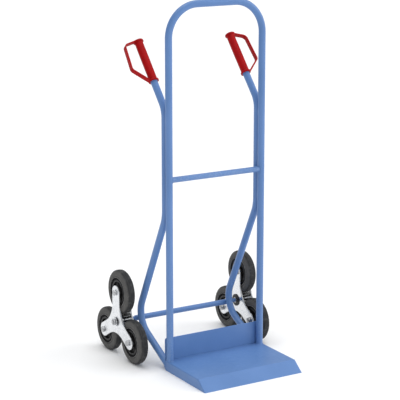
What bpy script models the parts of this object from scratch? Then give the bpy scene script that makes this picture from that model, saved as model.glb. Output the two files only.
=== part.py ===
"""Stair-climbing sack truck: a tubular steel frame on two stars of three wheels.

Units are metres and +Z is up. The truck faces -Y: the toe plate reaches
forward and the stars stand behind the uprights. The origin is on the floor in
the middle of the truck's box, and X = 0 is the plane between the two sides.
"""
import math

import bmesh
import bpy
from mathutils import Matrix, Vector

# ---------------------------------------------------------------- driving dimensions

GAP = 0.0003                 # clearance between touching pieces
CUT_PAST = 0.002             # reach of a cutter beyond the face it opens
SMOOTH_ANGLE = math.radians(35)

# Frame tubes
TUBE_RADIUS = 0.0125
TUBE_BORE = 0.011
TUBE_SIDES = 12
BAR_RADIUS = 0.010
BAR_BORE = 0.0076
BAR_SIDES = 16
BAR_OVERRUN = 0.002          # axle crossbar past the side rails
FRAME_HEIGHT = 1.300
UPRIGHT_X = 0.188            # half the spacing of the uprights
BOW_RADIUS = 0.112           # centre line of the top corners
MID_BAR_Z = 0.689

# Stars and wheels
WHEEL_RADIUS = 0.080
WHEEL_SIDES = 28
ARM_LENGTH = 0.109           # hub to wheel axle
ARMS = 3
STAR_X = 0.257               # middle plane of each star
AXLE_BACK = 0.228            # behind the uprights
AXLE_Z = WHEEL_RADIUS + ARM_LENGTH / 2

# Side rails
RAIL_SETBACK = 0.0265        # behind the uprights
RAIL_LEAN = math.radians(26.8)    # long run, from upright
TAIL_SLOPE = math.radians(27)     # lowest run, from level
GRIP_TILT = math.radians(41)      # grip, from upright
SHOULDER_RADIUS = 0.120
CROOK_RADIUS = 0.080
NECK_RADIUS = 0.078

# Toe plate and back plate
SHEET = 0.003
PLATE_HALF_WIDTH = 0.200
PLATE_TOP = 0.036
FOLD_REACH = 0.211           # fold of the lip, in front of the uprights
LIP_REACH = 0.258            # lip's edge on the floor
FOLD_RADIUS = 0.004
BACK_TOP = 0.1175
BACK_FOOT = 0.003
BACK_CORNER = 0.006
REST_LINE = 0.016            # the level top ends this far in front of the uprights' centre lines
REAR_DROP = 0.0005           # fall of the strip behind that line

# The box's middle is the origin, which sets the uprights' plane
REAR_REACH = AXLE_BACK + ARM_LENGTH * math.cos(math.radians(30)) + WHEEL_RADIUS
UPRIGHT_Y = (LIP_REACH - REAR_REACH) / 2
AXLE_Y = UPRIGHT_Y + AXLE_BACK
BACK_FRONT = UPRIGHT_Y + TUBE_RADIUS + GAP
BACK_REAR = BACK_FRONT + SHEET

# Grips
GRIP_FOOT_BACK = 0.1015      # grip's lower end, behind the uprights
GRIP_FOOT_Z = 1.0174
GRIP_LENGTH = 0.170
GRIP_RADIUS = 0.0148
GRIP_BORE = TUBE_RADIUS + GAP
GRIP_BORE_DEPTH = 0.156
GRIP_SIDES = 24
COLLAR_RADIUS = 0.0185
COLLAR_THICK = 0.006
GRIP_EDGE = 0.001
GRIP_DOME = 0.004
GUARD_WIDTH = 0.017
GUARD_THICK = 0.005
GUARD_EDGE = 0.001
GUARD_LOW = (0.067, 0.053)   # its bends, out from the grip's axis and along it
GUARD_HIGH = (0.060, 0.153)
GUARD_BENDS = (0.014, 0.018)

# Star pieces, measured along X from the star's middle plane
STAR_FACE = 0.025            # outer face of each plate
STAR_SHEET = 0.0025
STAR_EDGE = 0.006            # depth of the turned-in edge
STAR_ROLL = 0.002            # rounding between the face and the turned-in edge
ARM_HALF_WIDTH = 0.0255
ARM_TIP_RADIUS = 0.026
ARM_FILLET = 0.095
HUB_TUBE_RADIUS = 0.012
SHAFT_RADIUS = 0.007
BUSH_BORE = 0.0074
BUSH_RADIUS = 0.0095
BUSH_OUTER_FLANGE = 0.0125   # flange radius on the star's outer face
BUSH_INNER_FLANGE = 0.0225   # and on its inner face
BUSH_FLANGE = 0.0025
BUSH_LENGTH = 0.016
BOLT_RADIUS = 0.006
HEX_RADIUS = 0.011           # across the corners, halved
HEX_SIDES = 6
HEX_CHAMFER = 0.001          # height of the broken edge
HEX_CHAMFER_IN = 0.0008      # and its reach over the end face
BOLT_HEAD = 0.0075
BOLT_SIDES = 12
BOLT_OVERRUN = 0.002         # shank past the nut
NUT_THICK = 0.010
SHANK_CHAMFER = 0.001
SLEEVE_RADIUS = 0.010
BORE_PLAY = 0.0005
CLIP_THICK = 0.0015
WASHER_RADIUS = 0.017
WASHER_THICK = 0.002
AXLE_NUT_RADIUS = 0.0125
AXLE_NUT_THICK = 0.007
SHAFT_OVERRUN = 0.0015       # shaft past the nut
HUB_SIDES = 20
PIN_SIDES = 16
DISC_SIDES = 24

# Wheel profile
TYRE_HALF_WIDTH = 0.0175
TYRE_WALL = ((0.0025, 0.0443), (0.0005, 0.050), (0.0, 0.062), (0.0012, 0.071),
             (0.005, 0.0775))    # (set in from the half width, radius), from the seat out
TREAD_HALF_WIDTH = 0.006
RIM_RADIUS = 0.044
RIM_HALF_WIDTH = 0.0155
RIM_WALL = 0.006
WEB_HALF_WIDTH = 0.004
WHEEL_HUB_RADIUS = 0.016
WHEEL_HUB_HALF = 0.0217
WEB_RISE = 0.002             # slope of the web's ends into the hub and the rim

SIDES = {"left": -1, "right": 1}


# ---------------------------------------------------------------- scene and materials

def clear_scene():
    for item in list(bpy.data.objects):
        bpy.data.objects.remove(item, do_unlink=True)


def material(name, colour, roughness, metallic=0.0):
    found = bpy.data.materials.get(name)
    if found:
        return found
    made = bpy.data.materials.new(name)
    made.use_nodes = True
    shader = made.node_tree.nodes["Principled BSDF"]
    shader.inputs["Base Color"].default_value = (*colour, 1.0)
    shader.inputs["Roughness"].default_value = roughness
    shader.inputs["Metallic"].default_value = metallic
    return made


def blue_paint():
    return material("blue_paint", (0.115, 0.226, 0.485), 0.38)


def red_plastic():
    return material("red_plastic", (0.45, 0.006, 0.008), 0.42)


def zinc():
    return material("zinc_plate", (0.72, 0.73, 0.75), 0.30, 1.0)


def axle_steel():
    return material("axle_steel", (0.60, 0.61, 0.63), 0.34, 1.0)


def rubber():
    return material("tyre_rubber", (0.055, 0.055, 0.058), 0.72)


def black_plastic():
    return material("black_plastic", (0.018, 0.018, 0.020), 0.50)


def add_object(name, bm, look, parent=None):
    """Turn the mesh into an object; its coordinates are local to the parent."""
    bmesh.ops.recalc_face_normals(bm, faces=bm.faces)
    mesh = bpy.data.meshes.new(name)
    bm.to_mesh(mesh)
    bm.free()
    return place_mesh(name, mesh, look, parent)


def place_mesh(name, mesh, look, parent=None):
    mesh.shade_smooth()
    mesh.set_sharp_from_angle(angle=SMOOTH_ANGLE)
    if not mesh.materials:
        mesh.materials.append(look)
    item = bpy.data.objects.new(name, mesh)
    bpy.context.scene.collection.objects.link(item)
    item.parent = parent
    return item


def add_pivot(name, place, parent=None):
    pivot = bpy.data.objects.new(name, None)
    bpy.context.scene.collection.objects.link(pivot)
    pivot.parent = parent
    pivot.location = place
    return pivot


def add_cutter(name, bm, parent=None):
    cutter = add_object(name, bm, material("cutter", (1, 1, 1), 0.5), parent)
    cutter.hide_render = True
    cutter.display_type = "WIRE"
    return cutter


def boolean(item, cutter, operation="DIFFERENCE"):
    step = item.modifiers.new(operation.lower(), "BOOLEAN")
    step.operation = operation
    step.solver = "EXACT"
    step.object = cutter


# ---------------------------------------------------------------- mesh building

def skin(bm, rings, closed):
    """Faces between rings of equal length; closed joins the last to the first."""
    loops = [[bm.verts.new(point) for point in ring] for ring in rings]
    following = loops[1:] + loops[:1] if closed else loops[1:]
    count = len(loops[0])
    for lower, upper in zip(loops, following):
        for i in range(count):
            j = (i + 1) % count
            bm.faces.new((lower[i], lower[j], upper[j], upper[i]))
    if not closed:
        bm.faces.new(reversed(loops[0]))
        bm.faces.new(loops[-1])


def circle(radius, sides):
    return [(radius * math.cos(math.tau * i / sides), radius * math.sin(math.tau * i / sides))
            for i in range(sides)]


def place_ring(centre, across, up, outline):
    return [centre + across * u + up * v for u, v in outline]


def bend_path(corners, radii, step=math.radians(13)):
    """Points and directions along straight runs joined by arcs."""
    path = [(corners[0], (corners[1] - corners[0]).normalized())]
    for before, corner, after, radius in zip(corners, corners[1:], corners[2:], radii):
        coming = (corner - before).normalized()
        going = (after - corner).normalized()
        turn = coming.angle(going)
        inward = (going - coming).normalized()
        centre = corner + inward * radius / math.cos(turn / 2)
        axis = coming.cross(going).normalized()
        start = corner - coming * radius * math.tan(turn / 2) - centre
        count = max(2, round(turn / step))
        for i in range(count + 1):
            spin = Matrix.Rotation(turn * i / count, 3, axis)
            path.append((centre + spin @ start, spin @ coming))
    path.append((corners[-1], (corners[-1] - corners[-2]).normalized()))
    return path


def sweep_rings(path, flat, outline):
    """Rings of one outline along a path that lies in a plane with normal flat."""
    return [place_ring(point, flat.cross(along), flat, outline) for point, along in path]


def trim_to_y(ring, along, y):
    return [point + along * ((y - point.y) / along.y) for point in ring]


def hollow(bm, outer, inner):
    skin(bm, outer + inner[::-1], closed=True)


def turn_rings(profile, sides, axis="X"):
    """Rings of a turned piece, one for each (distance along the axis, radius)."""
    rings = []
    for along, radius in profile:
        if axis == "X":
            rings.append([Vector((along, u, v)) for u, v in circle(radius, sides)])
        else:
            rings.append([Vector((u, v, along)) for u, v in circle(radius, sides)])
    return rings


def turned(profile, sides, closed, axis="X"):
    bm = bmesh.new()
    skin(bm, turn_rings(profile, sides, axis), closed)
    return bm


def tube_profile(low, high, bore, radius):
    """Closed profile of a tube from low to high."""
    return [(low, bore), (low, radius), (high, radius), (high, bore)]


# ---------------------------------------------------------------- frame

def make_main_frame():
    foot = PLATE_TOP + GAP
    top = FRAME_HEIGHT - TUBE_RADIUS
    corners = [Vector((-UPRIGHT_X, UPRIGHT_Y, foot)), Vector((-UPRIGHT_X, UPRIGHT_Y, top)),
               Vector((UPRIGHT_X, UPRIGHT_Y, top)), Vector((UPRIGHT_X, UPRIGHT_Y, foot))]
    path = bend_path(corners, [BOW_RADIUS, BOW_RADIUS])
    flat = Vector((0, 1, 0))
    bm = bmesh.new()
    hollow(bm, sweep_rings(path, flat, circle(TUBE_RADIUS, TUBE_SIDES)),
           sweep_rings(path, flat, circle(TUBE_BORE, TUBE_SIDES)))
    add_object("main_frame", bm, blue_paint())


def rail_corners(x):
    """The rail's four straight runs meet in a neck, a shoulder and a crook."""
    grip_way = Vector((0, math.sin(GRIP_TILT), math.cos(GRIP_TILT)))
    run_way = Vector((0, math.sin(RAIL_LEAN), -math.cos(RAIL_LEAN)))
    tail_way = Vector((0, -math.cos(TAIL_SLOPE), -math.sin(TAIL_SLOPE)))
    rail_y = UPRIGHT_Y + RAIL_SETBACK
    grip_foot = Vector((x, UPRIGHT_Y + GRIP_FOOT_BACK, GRIP_FOOT_Z))
    tip = grip_foot + grip_way * (GRIP_BORE_DEPTH - 2 * GAP)
    neck = grip_foot - grip_way * ((grip_foot.y - rail_y) / grip_way.y)
    # the crook's bend lies against the front of the axle crossbar
    outward = (run_way - tail_way).normalized()
    clear = CROOK_RADIUS + TUBE_RADIUS + BAR_RADIUS + GAP
    bend_centre = Vector((x, AXLE_Y, AXLE_Z)) - outward * clear
    crook = bend_centre + outward * CROOK_RADIUS / math.cos(run_way.angle(tail_way) / 2)
    shoulder = crook - run_way * ((crook.y - rail_y) / run_way.y)
    end = crook + tail_way * ((BACK_REAR + GAP - crook.y) / tail_way.y)
    return [tip, neck, shoulder, crook, end]


def make_side_rail(side, sign):
    path = bend_path(rail_corners(sign * UPRIGHT_X), [NECK_RADIUS, SHOULDER_RADIUS, CROOK_RADIUS])
    flat = Vector((1, 0, 0))
    outer = sweep_rings(path, flat, circle(TUBE_RADIUS, TUBE_SIDES))
    inner = sweep_rings(path, flat, circle(TUBE_BORE, TUBE_SIDES))
    for rings in (outer, inner):
        rings[-1] = trim_to_y(rings[-1], path[-1][1], BACK_REAR + GAP)
    bm = bmesh.new()
    hollow(bm, outer, inner)
    add_object(f"{side}_side_rail", bm, blue_paint())


def coped_ring(radius, sign):
    """End of a level bar, cut to the round of the upright that it meets."""
    reach = TUBE_RADIUS + GAP
    ring = []
    for u, v in circle(radius, BAR_SIDES):
        x = UPRIGHT_X - math.sqrt(reach ** 2 - u ** 2)
        ring.append(Vector((sign * x, UPRIGHT_Y + u, MID_BAR_Z + v)))
    return ring


def make_mid_crossbar():
    bm = bmesh.new()
    hollow(bm, [coped_ring(BAR_RADIUS, -1), coped_ring(BAR_RADIUS, 1)],
           [coped_ring(BAR_BORE, -1), coped_ring(BAR_BORE, 1)])
    add_object("mid_crossbar", bm, blue_paint())


def make_axle_crossbar(axle):
    reach = UPRIGHT_X + TUBE_RADIUS + BAR_OVERRUN
    profile = tube_profile(-reach, reach, BAR_BORE, BAR_RADIUS)
    add_object("axle_crossbar", turned(profile, BAR_SIDES, True), blue_paint(), axle)


def sheet_profile(drop):
    """Side outline of the toe plate, (Y, Z), with its faces set in by drop.

    The top is level as far back as -REST_LINE, and the strip behind it, under
    the uprights, falls a little to the rear.
    """
    slope = Vector((FOLD_REACH - LIP_REACH, -PLATE_TOP)).normalized()
    inward = Vector((-slope.y, slope.x))
    edge = Vector((-FOLD_REACH, PLATE_TOP)) + inward * drop
    top = PLATE_TOP - drop
    foot = -drop
    rear = TUBE_RADIUS + drop
    return [(rear, foot), (rear, top - REAR_DROP), (-REST_LINE, top),
            (edge.x + slope.x * (top - edge.y) / slope.y, top),
            (edge.x + slope.x * (foot - edge.y) / slope.y, foot)]


def toe_prism(drop):
    bm = bmesh.new()
    half = PLATE_HALF_WIDTH - drop
    rings = [[Vector((x, UPRIGHT_Y + y, z)) for y, z in sheet_profile(drop)]
             for x in (-half, half)]
    skin(bm, rings, closed=False)
    return bm


def is_fold(edge):
    """Edges of the toe plate's top face, its rear edge left square."""
    middle = (edge.verts[0].co + edge.verts[1].co) / 2
    on_rear = middle.y > UPRIGHT_Y + TUBE_RADIUS - GAP
    return middle.z > GAP and not on_rear and edge.calc_face_angle() > SMOOTH_ANGLE


def make_toe_plate():
    bm = toe_prism(0.0)
    bm.normal_update()
    folds = [edge for edge in bm.edges if is_fold(edge)]
    bmesh.ops.bevel(bm, geom=folds, offset=FOLD_RADIUS, segments=2, profile=0.5,
                    affect="EDGES")
    plate = add_object("toe_plate", bm, blue_paint())
    boolean(plate, add_cutter("toe_hollow", toe_prism(SHEET)))


def make_back_plate():
    bm = bmesh.new()
    bmesh.ops.create_cube(bm, size=1.0)
    size = Vector((2 * PLATE_HALF_WIDTH, SHEET, BACK_TOP - BACK_FOOT))
    middle = Vector((0, (BACK_FRONT + BACK_REAR) / 2, (BACK_TOP + BACK_FOOT) / 2))
    bmesh.ops.scale(bm, vec=size, verts=bm.verts)
    bmesh.ops.translate(bm, vec=middle, verts=bm.verts)
    corners = [edge for edge in bm.edges
               if abs(edge.verts[0].co.y - edge.verts[1].co.y) > SHEET / 2
               and edge.verts[0].co.z > PLATE_TOP]
    bmesh.ops.bevel(bm, geom=corners, offset=BACK_CORNER, segments=3, profile=0.5,
                    affect="EDGES")
    add_object("back_plate", bm, blue_paint())


# ---------------------------------------------------------------- grips

def grip_profile():
    """(height along the grip, radius), from the blind end of the bore outwards."""
    top = GRIP_LENGTH
    cap = top - COLLAR_THICK - GRIP_EDGE
    return [(GRIP_BORE_DEPTH, GRIP_BORE), (0, GRIP_BORE), (0, COLLAR_RADIUS - GRIP_EDGE),
            (GRIP_EDGE, COLLAR_RADIUS), (COLLAR_THICK - GRIP_EDGE, COLLAR_RADIUS),
            (COLLAR_THICK, COLLAR_RADIUS - GRIP_EDGE), (COLLAR_THICK, GRIP_RADIUS),
            (cap - GRIP_EDGE, GRIP_RADIUS), (cap, COLLAR_RADIUS),
            (top - 3 * GRIP_EDGE, COLLAR_RADIUS), (top - GRIP_EDGE, COLLAR_RADIUS - GRIP_DOME),
            (top, COLLAR_RADIUS / 2 - GRIP_EDGE)]


def guard_outline():
    """The strap's section, flat side out, with broken corners."""
    width = GUARD_WIDTH / 2
    thick = GUARD_THICK / 2
    cut = GUARD_EDGE
    return [(-thick, -width + cut), (-thick + cut, -width), (thick - cut, -width),
            (thick, -width + cut), (thick, width - cut), (thick - cut, width),
            (-thick + cut, width), (-thick, width - cut)]


def make_guard(name, sign, parent):
    root = GRIP_BORE + GRIP_EDGE + GUARD_EDGE
    places = [(root, COLLAR_THICK / 2), GUARD_LOW, GUARD_HIGH,
              (root, GRIP_LENGTH - COLLAR_THICK / 2 - GRIP_EDGE)]
    corners = [Vector((sign * out, 0, along)) for out, along in places]
    bm = bmesh.new()
    path = bend_path(corners, GUARD_BENDS, step=math.radians(18))
    skin(bm, sweep_rings(path, Vector((0, 1, 0)), guard_outline()), closed=False)
    return add_cutter(name, bm, parent)


def make_grip(side, sign):
    place = (sign * UPRIGHT_X, UPRIGHT_Y + GRIP_FOOT_BACK, GRIP_FOOT_Z)
    pivot = add_pivot(f"{side}_grip_place", place)
    pivot.rotation_euler = (-GRIP_TILT, 0, 0)
    bm = turned(grip_profile(), GRIP_SIDES, False, axis="Z")
    grip = add_object(f"{side}_grip", bm, red_plastic(), pivot)
    boolean(grip, make_guard(f"{side}_guard_shape", sign, pivot), "UNION")


# ---------------------------------------------------------------- stars

def fillet_points(arm, count=6):
    """Points of the concave curve from one arm to the next, anticlockwise."""
    half_step = math.pi / ARMS
    reach = (ARM_HALF_WIDTH + ARM_FILLET) / math.sin(half_step)
    middle = arm + half_step
    centre = Vector((reach * math.cos(middle), reach * math.sin(middle)))
    spread = math.pi / 2 - half_step
    points = []
    for i in range(count + 1):
        angle = middle + math.pi + spread - 2 * spread * i / count
        points.append(centre + Vector((math.cos(angle), math.sin(angle))) * ARM_FILLET)
    return points


def tip_points(arm, count=8):
    centre = Vector((math.cos(arm), math.sin(arm))) * ARM_LENGTH
    points = []
    for i in range(count + 1):
        angle = arm - math.pi / 2 + math.pi * i / count
        points.append(centre + Vector((math.cos(angle), math.sin(angle))) * ARM_TIP_RADIUS)
    return points


def star_outline(inset=0.0):
    """The three-armed outline in (Y, Z), one arm straight up, set in by inset."""
    points = []
    for i in range(ARMS):
        arm = math.pi / 2 + math.tau * i / ARMS
        points += tip_points(arm) + fillet_points(arm)
    count = len(points)
    outline = []
    for i, point in enumerate(points):
        along = (points[(i + 1) % count] - points[i - 1]).normalized()
        outline.append(point + Vector((-along.y, along.x)) * inset)
    return outline


def star_prism(levels):
    """Closed solid through the star outline, one ring for each (x, inset)."""
    bm = bmesh.new()
    rings = [[Vector((x, y, z)) for y, z in star_outline(inset)] for x, inset in levels]
    skin(bm, rings, closed=False)
    return bm


def wheel_places():
    return [(ARM_LENGTH * math.cos(angle), ARM_LENGTH * math.sin(angle))
            for angle in (math.pi / 2 + math.tau * i / ARMS for i in range(ARMS))]


def add_round_cut(bm, y, z, radius, low, high, sides):
    rings = [[Vector((x, y + u, z + v)) for u, v in circle(radius, sides)] for x in (low, high)]
    skin(bm, rings, closed=False)


def star_cutter():
    """The plate's inner pocket, its hub hole and its three bolt holes."""
    low = -(STAR_FACE - STAR_EDGE - CUT_PAST)
    floor = -(STAR_FACE - STAR_SHEET)
    bm = star_prism([(low, STAR_SHEET), (floor, STAR_SHEET)])
    middle = (low + floor) / 2
    high = -(STAR_FACE + CUT_PAST)
    add_round_cut(bm, 0, 0, BUSH_RADIUS + GAP, middle, high, DISC_SIDES)
    for y, z in wheel_places():
        add_round_cut(bm, y, z, BOLT_RADIUS + GAP, middle, high, PIN_SIDES)
    return bm


def make_star_plate(name, sign, star):
    """Modelled as the plate on the -X side; the other one is it turned half round Z."""
    face = STAR_FACE
    middle = STAR_ROLL * (1 - math.sqrt(0.5))
    levels = [(face - STAR_EDGE, 0.0), (face - STAR_ROLL, 0.0), (face - middle, middle),
              (face, STAR_ROLL)]
    bm = star_prism([(-x, inset) for x, inset in levels])
    plate = add_object(name, bm, zinc(), star)
    cutter = add_cutter(f"{name}_cut", star_cutter(), star)
    boolean(plate, cutter)
    if sign > 0:
        plate.rotation_euler.z = math.pi
        cutter.rotation_euler.z = math.pi


def hex_ring(x, radius):
    """Twelve points round a hexagon: its corners and the middles of its sides."""
    count = 2 * HEX_SIDES
    ring = []
    for i in range(count):
        reach = radius * (math.cos(math.pi / HEX_SIDES) if i % 2 else 1.0)
        angle = math.tau * i / count
        ring.append(Vector((x, reach * math.cos(angle), reach * math.sin(angle))))
    return ring


def hex_end(x, radius):
    """The round end of a chamfered hexagon."""
    reach = (radius - HEX_CHAMFER_IN) * math.cos(math.pi / HEX_SIDES)
    return turn_rings([(x, reach)], 2 * HEX_SIDES)[0]


def bolt_mesh(sign):
    """Head outside at the positive end, shank towards the negative end."""
    under = STAR_FACE + GAP
    top = under + BOLT_HEAD
    tail = -(STAR_FACE + GAP + NUT_THICK + BOLT_OVERRUN)
    rings = [hex_end(sign * top, HEX_RADIUS), hex_ring(sign * (top - HEX_CHAMFER), HEX_RADIUS),
             hex_ring(sign * under, HEX_RADIUS)]
    shank = [(under, BOLT_RADIUS), (tail + SHANK_CHAMFER, BOLT_RADIUS),
             (tail, BOLT_RADIUS - SHANK_CHAMFER)]
    rings += turn_rings([(sign * x, radius) for x, radius in shank], BOLT_SIDES)
    bm = bmesh.new()
    skin(bm, rings, closed=False)
    return bm


def nut_mesh(low, high, radius, bore):
    """Hexagon nut from low to high along X, both outer edges broken."""
    step = math.copysign(HEX_CHAMFER, high - low)
    rings = [hex_end(low, radius), hex_ring(low + step, radius),
             hex_ring(high - step, radius), hex_end(high, radius)]
    rings += turn_rings([(high, bore), (low, bore)], BOLT_SIDES)
    bm = bmesh.new()
    skin(bm, rings, closed=True)
    return bm


def bush_mesh(sign, flange_radius):
    """Plastic bush: a flange on the plate's face and a sleeve into the hub tube."""
    under = STAR_FACE + GAP
    profile = [(under + BUSH_FLANGE, BUSH_BORE), (under + BUSH_FLANGE, flange_radius),
               (under, flange_radius), (under, BUSH_RADIUS),
               (under - BUSH_LENGTH, BUSH_RADIUS), (under - BUSH_LENGTH, BUSH_BORE)]
    return turned([(sign * x, radius) for x, radius in profile], HUB_SIDES, True)


def make_star(side, sign, star):
    """Everything that turns with the star apart from its wheels."""
    make_star_plate(f"{side}_outer_plate", sign, star)
    make_star_plate(f"{side}_inner_plate", -sign, star)
    reach = STAR_FACE - STAR_SHEET - GAP
    hub = tube_profile(-reach, reach, BUSH_RADIUS + GAP, HUB_TUBE_RADIUS)
    add_object(f"{side}_hub_tube", turned(hub, HUB_SIDES, True), zinc(), star)
    add_object(f"{side}_outer_bush", bush_mesh(sign, BUSH_OUTER_FLANGE), black_plastic(), star)
    add_object(f"{side}_inner_bush", bush_mesh(-sign, BUSH_INNER_FLANGE), black_plastic(), star)
    for number, (y, z) in enumerate(wheel_places(), 1):
        fasten_wheel(side, sign, number, add_pivot(f"{side}_bolt_place_{number}", (0, y, z), star))


def fasten_wheel(side, sign, number, place):
    reach = STAR_FACE - STAR_SHEET - GAP
    near = -sign * (STAR_FACE + GAP)
    far = -sign * (STAR_FACE + GAP + NUT_THICK)
    add_object(f"{side}_bolt_{number}", bolt_mesh(sign), axle_steel(), place)
    add_object(f"{side}_nut_{number}", nut_mesh(near, far, HEX_RADIUS, BOLT_RADIUS + GAP),
               axle_steel(), place)
    sleeve = tube_profile(-reach, reach, BOLT_RADIUS + GAP, SLEEVE_RADIUS)
    add_object(f"{side}_sleeve_{number}", turned(sleeve, PIN_SIDES, True), axle_steel(), place)


# ---------------------------------------------------------------- wheels

def tyre_profile():
    """Closed (x, radius) outline of the solid tyre, its seat first."""
    side = [(TYRE_HALF_WIDTH - inset, radius) for inset, radius in TYRE_WALL]
    side.append((TREAD_HALF_WIDTH, WHEEL_RADIUS))
    return side + [(-x, radius) for x, radius in reversed(side)]


def rim_profile():
    """Closed (x, radius) outline of the rim: hub, web and seat for the tyre."""
    bore = SLEEVE_RADIUS + BORE_PLAY
    inside = RIM_RADIUS - RIM_WALL
    half = [(WHEEL_HUB_HALF, bore), (WHEEL_HUB_HALF, WHEEL_HUB_RADIUS),
            (WEB_HALF_WIDTH, WHEEL_HUB_RADIUS + WEB_RISE), (WEB_HALF_WIDTH, inside - WEB_RISE),
            (RIM_HALF_WIDTH, inside), (RIM_HALF_WIDTH, RIM_RADIUS)]
    return half + [(-x, radius) for x, radius in reversed(half)]


def make_wheels(side, star, meshes):
    for number, (y, z) in enumerate(wheel_places(), 1):
        axis = add_pivot(f"{side}_wheel_place_{number}", (0, y, z), star)
        place_mesh(f"{side}_tyre_{number}", meshes["tyre"], rubber(), axis)
        place_mesh(f"{side}_rim_{number}", meshes["rim"], black_plastic(), axis)


def wheel_meshes():
    """One tyre mesh and one rim mesh, shared by the six wheels."""
    meshes = {}
    for name, profile in (("tyre", tyre_profile()), ("rim", rim_profile())):
        bm = turned(profile, WHEEL_SIDES, True)
        bmesh.ops.recalc_face_normals(bm, faces=bm.faces)
        meshes[name] = bpy.data.meshes.new(name)
        bm.to_mesh(meshes[name])
        bm.free()
    return meshes


# ---------------------------------------------------------------- axle

def outer_stack():
    """Where the washer, the nut and the shaft's end lie outside each star."""
    washer = STAR_FACE + GAP + BUSH_FLANGE + GAP
    nut = washer + WASHER_THICK + GAP
    end = nut + AXLE_NUT_THICK + SHAFT_OVERRUN
    return washer, nut, end


def make_axle(axle):
    end = STAR_X + outer_stack()[2]
    cut = SHANK_CHAMFER
    profile = [(-end, SHAFT_RADIUS - cut), (-end + cut, SHAFT_RADIUS),
               (end - cut, SHAFT_RADIUS), (end, SHAFT_RADIUS - cut)]
    add_object("axle_shaft", turned(profile, PIN_SIDES, False), axle_steel(), axle)


def make_axle_stops(side, sign, axle):
    """The clip inside the star, and the washer and nut outside it."""
    washer, nut, _ = outer_stack()
    bore = SHAFT_RADIUS + GAP
    clip_high = STAR_X - STAR_FACE - BUSH_FLANGE - 3 * GAP
    clip_low = clip_high - CLIP_THICK
    clip = tube_profile(sign * clip_low, sign * clip_high, bore, BAR_RADIUS)
    add_object(f"{side}_inner_clip", turned(clip, PIN_SIDES, True), axle_steel(), axle)
    low = sign * (STAR_X + washer)
    high = sign * (STAR_X + washer + WASHER_THICK)
    washer_mesh = turned(tube_profile(low, high, bore, WASHER_RADIUS), DISC_SIDES, True)
    add_object(f"{side}_outer_washer", washer_mesh, zinc(), axle)
    start = sign * (STAR_X + nut)
    stop = sign * (STAR_X + nut + AXLE_NUT_THICK)
    add_object(f"{side}_axle_nut", nut_mesh(start, stop, AXLE_NUT_RADIUS, bore),
               axle_steel(), axle)


# ---------------------------------------------------------------- the whole truck

def build():
    clear_scene()
    make_main_frame()
    make_mid_crossbar()
    make_toe_plate()
    make_back_plate()
    axle = add_pivot("axle_place", (0, AXLE_Y, AXLE_Z))
    make_axle_crossbar(axle)
    make_axle(axle)
    meshes = wheel_meshes()
    for side, sign in SIDES.items():
        make_side_rail(side, sign)
        make_grip(side, sign)
        make_axle_stops(side, sign, axle)
        star = add_pivot(f"{side}_star_place", (sign * STAR_X, 0, 0), axle)
        make_star(side, sign, star)
        make_wheels(side, star, meshes)


build()
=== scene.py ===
"""Looks of a stair-climbing sack truck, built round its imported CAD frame.

Metres, +Z up. The truck faces -Y and stands on the floor at Z = 0. Every
piece is modelled in the frame's own coordinates and rides on a CAD body.
"""

import math

import bmesh
import bpy
from mathutils import Matrix, Vector


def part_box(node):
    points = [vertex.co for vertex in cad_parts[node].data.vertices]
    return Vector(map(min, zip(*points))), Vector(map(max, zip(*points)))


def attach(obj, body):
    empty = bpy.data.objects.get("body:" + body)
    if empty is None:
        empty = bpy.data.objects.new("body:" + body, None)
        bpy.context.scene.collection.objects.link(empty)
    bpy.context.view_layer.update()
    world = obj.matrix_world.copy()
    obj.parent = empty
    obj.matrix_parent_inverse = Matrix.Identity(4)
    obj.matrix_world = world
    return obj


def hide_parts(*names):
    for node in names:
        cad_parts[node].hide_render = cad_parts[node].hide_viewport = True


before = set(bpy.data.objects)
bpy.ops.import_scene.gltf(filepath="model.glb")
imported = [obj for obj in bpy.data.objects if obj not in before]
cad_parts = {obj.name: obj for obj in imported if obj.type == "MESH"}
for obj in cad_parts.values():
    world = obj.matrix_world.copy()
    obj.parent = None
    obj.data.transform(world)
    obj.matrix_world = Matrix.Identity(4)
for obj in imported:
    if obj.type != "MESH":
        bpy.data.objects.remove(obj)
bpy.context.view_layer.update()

# -------- sizes taken from the frame

frame_low, frame_high = (Vector(corner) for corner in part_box("main_frame"))
plate_high = Vector(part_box("toe_plate")[1])
back_low, back_high = (Vector(corner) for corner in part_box("back_plate"))
bar_low, bar_high = (Vector(corner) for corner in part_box("mid_crossbar"))
axle_bar_low, axle_bar_high = (Vector(corner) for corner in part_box("axle_crossbar"))
axle_high = Vector(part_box("axle_shaft")[1])

TUBE = (frame_high.y - frame_low.y) / 2
UPRIGHT_X = frame_high.x - TUBE
UPRIGHT_Y = (frame_high.y + frame_low.y) / 2
FOOT_Z = frame_low.z
PLATE_TOP = plate_high.z
BAR = (bar_high.z - bar_low.z) / 2
MID_BAR_Z = (bar_high.z + bar_low.z) / 2
AXLE_Y = (axle_bar_high.y + axle_bar_low.y) / 2
AXLE_Z = (axle_bar_high.z + axle_bar_low.z) / 2
AXLE_CENTRE = Vector((0, AXLE_Y, AXLE_Z))

# -------- the truck's own dimensions

GAP = 0.0003
BOW_RADIUS = 0.112
RAIL_SETBACK = 0.0265
RAIL_LEAN = math.radians(26.8)
TAIL_SLOPE = math.radians(27)
NECK_RADIUS = 0.078
SHOULDER_RADIUS = 0.120
CROOK_RADIUS = 0.080

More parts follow.
